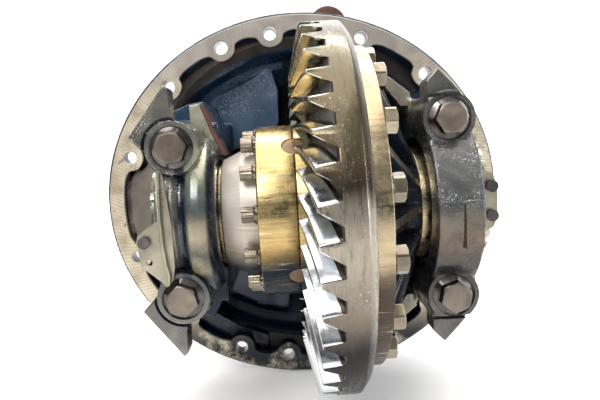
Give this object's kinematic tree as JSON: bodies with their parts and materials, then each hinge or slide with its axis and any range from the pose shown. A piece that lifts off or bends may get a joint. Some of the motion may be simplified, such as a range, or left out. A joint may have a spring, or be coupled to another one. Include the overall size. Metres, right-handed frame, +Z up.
{
  "type": "differential gear assembly",
  "caption": "Truck drive-axle differential: flanged carrier with capped side bearings, spiral bevel crown wheel and pinion, differential case with bevel gears inside.",
  "frame": {"origin": "centre of the flange's bolt pattern on its machined mounting face", "axes": "+X along the crown wheel axis to the crown wheel's side, +Y into the carrier towards the input flange, +Z up"},
  "size_m": [0.528, 0.597, 0.502],
  "materials": {
    "bolt_steel": "oiled tempered steel with rust tint",
    "bronze": "bronze washer",
    "cage_steel": "pressed steel cage",
    "cap_cast": "oiled olive-grey casting",
    "case_steel": "turned steel under gear oil",
    "cast_dark": "oily black-brown casting with machined faces",
    "ground_steel": "ground bearing steel",
    "pin_steel": "hardened pin, oil-stained",
    "plate_steel": "pressed steel plate",
    "seal_rubber": "matt rubber",
    "wheel_steel": "carburised gear steel, golden oil film, polished flanks"
  },
  "bodies": {
    "carrier": {"carrier_housing": "cast_dark", "bearing_cap_left": "cap_cast", "bearing_cap_right": "cap_cast", "cap_bolts_left": "bolt_steel", "cap_bolts_right": "bolt_steel", "cap_dowels": "ground_steel", "adjuster_ring_left": "plate_steel", "adjuster_ring_right": "plate_steel", "lock_plate_left": "plate_steel", "lock_plate_right": "plate_steel", "lock_plate_screws": "bolt_steel", "side_bearing_cup_left": "ground_steel", "side_bearing_cup_right": "ground_steel", "pinion_cage": "cast_dark", "pinion_cage_bolts": "bolt_steel", "pinion_shim": "plate_steel", "pinion_bearing_cup_inner": "ground_steel", "pinion_bearing_cup_outer": "ground_steel", "oil_seal": "seal_rubber"},
    "diff_case": {"crown_wheel": "wheel_steel", "case_half_left": "case_steel", "case_half_right": "case_steel", "case_bolts": "bolt_steel", "crown_wheel_bolts": "bolt_steel", "cross_shaft": "pin_steel", "side_bearing_cone_left": "ground_steel", "side_bearing_cone_right": "ground_steel", "side_thrust_washers": "bronze", "spider_thrust_washers": "bronze"},
    "pinion": {"drive_pinion": "wheel_steel", "pinion_bearing_cone_inner": "ground_steel", "pinion_bearing_cone_outer": "ground_steel", "pinion_spacer": "ground_steel", "input_flange": "cast_dark", "pinion_washer": "bolt_steel", "pinion_nut": "bolt_steel", "dust_deflector": "plate_steel"},
    "side_gear_left_body": {"side_gear_left": "wheel_steel"},
    "side_gear_right_body": {"side_gear_right": "wheel_steel"},
    "spider_1": {"spider_gear_1": "wheel_steel"},
    "spider_2": {"spider_gear_2": "wheel_steel"},
    "spider_3": {"spider_gear_3": "wheel_steel"},
    "spider_4": {"spider_gear_4": "wheel_steel"},
    "left_roller_set": {"side_rollers_left": "ground_steel", "side_roller_cage_left": "cage_steel"},
    "right_roller_set": {"side_rollers_right": "ground_steel", "side_roller_cage_right": "cage_steel"},
    "inner_roller_set": {"pinion_rollers_inner": "ground_steel", "pinion_roller_cage_inner": "cage_steel"},
    "outer_roller_set": {"pinion_rollers_outer": "ground_steel", "pinion_roller_cage_outer": "cage_steel"}
  },
  "joints": [
    {"name": "case_spin", "type": "hinge", "parent": "carrier", "child": "diff_case", "pos_m": [0, -0.11, 0], "axis": [1, 0, 0], "continuous": true},
    {"name": "pinion_spin", "type": "hinge", "parent": "carrier", "child": "pinion", "pos_m": [-0.05, 0, 0], "axis": [0, 1, 0], "continuous": true},
    {"name": "side_gear_left_spin", "type": "hinge", "parent": "diff_case", "child": "side_gear_left_body", "pos_m": [0, -0.11, 0], "axis": [1, 0, 0], "continuous": true},
    {"name": "side_gear_right_spin", "type": "hinge", "parent": "diff_case", "child": "side_gear_right_body", "pos_m": [0, -0.11, 0], "axis": [1, 0, 0], "continuous": true},
    {"name": "spider_1_spin", "type": "hinge", "parent": "diff_case", "child": "spider_1", "pos_m": [-0.014, -0.11, 0], "axis": [0, 0.766, 0.6428], "continuous": true},
    {"name": "spider_2_spin", "type": "hinge", "parent": "diff_case", "child": "spider_2", "pos_m": [-0.014, -0.11, 0], "axis": [0, -0.6428, 0.766], "continuous": true},
    {"name": "spider_3_spin", "type": "hinge", "parent": "diff_case", "child": "spider_3", "pos_m": [-0.014, -0.11, 0], "axis": [0, -0.766, -0.6428], "continuous": true},
    {"name": "spider_4_spin", "type": "hinge", "parent": "diff_case", "child": "spider_4", "pos_m": [-0.014, -0.11, 0], "axis": [0, 0.6428, -0.766], "continuous": true},
    {"name": "left_rollers_orbit", "type": "hinge", "parent": "carrier", "child": "left_roller_set", "pos_m": [0, -0.11, 0], "axis": [1, 0, 0], "continuous": true},
    {"name": "right_rollers_orbit", "type": "hinge", "parent": "carrier", "child": "right_roller_set", "pos_m": [0, -0.11, 0], "axis": [1, 0, 0], "continuous": true},
    {"name": "inner_rollers_orbit", "type": "hinge", "parent": "carrier", "child": "inner_roller_set", "pos_m": [-0.05, 0, 0], "axis": [0, 1, 0], "continuous": true},
    {"name": "outer_rollers_orbit", "type": "hinge", "parent": "carrier", "child": "outer_roller_set", "pos_m": [-0.05, 0, 0], "axis": [0, 1, 0], "continuous": true}
  ],
  "couplings": [
    {"joint": "pinion_spin", "follows": "case_spin", "ratio": -3.7273},
    {"joint": "side_gear_right_spin", "follows": "side_gear_left_spin", "ratio": -1},
    {"joint": "spider_1_spin", "follows": "side_gear_left_spin", "ratio": 1.6},
    {"joint": "spider_2_spin", "follows": "side_gear_left_spin", "ratio": 1.6},
    {"joint": "spider_3_spin", "follows": "side_gear_left_spin", "ratio": 1.6},
    {"joint": "spider_4_spin", "follows": "side_gear_left_spin", "ratio": 1.6},
    {"joint": "left_rollers_orbit", "follows": "case_spin", "ratio": 0.45081},
    {"joint": "right_rollers_orbit", "follows": "case_spin", "ratio": 0.45518},
    {"joint": "inner_rollers_orbit", "follows": "case_spin", "ratio": -1.5559},
    {"joint": "outer_rollers_orbit", "follows": "case_spin", "ratio": -1.5504}
  ]
}
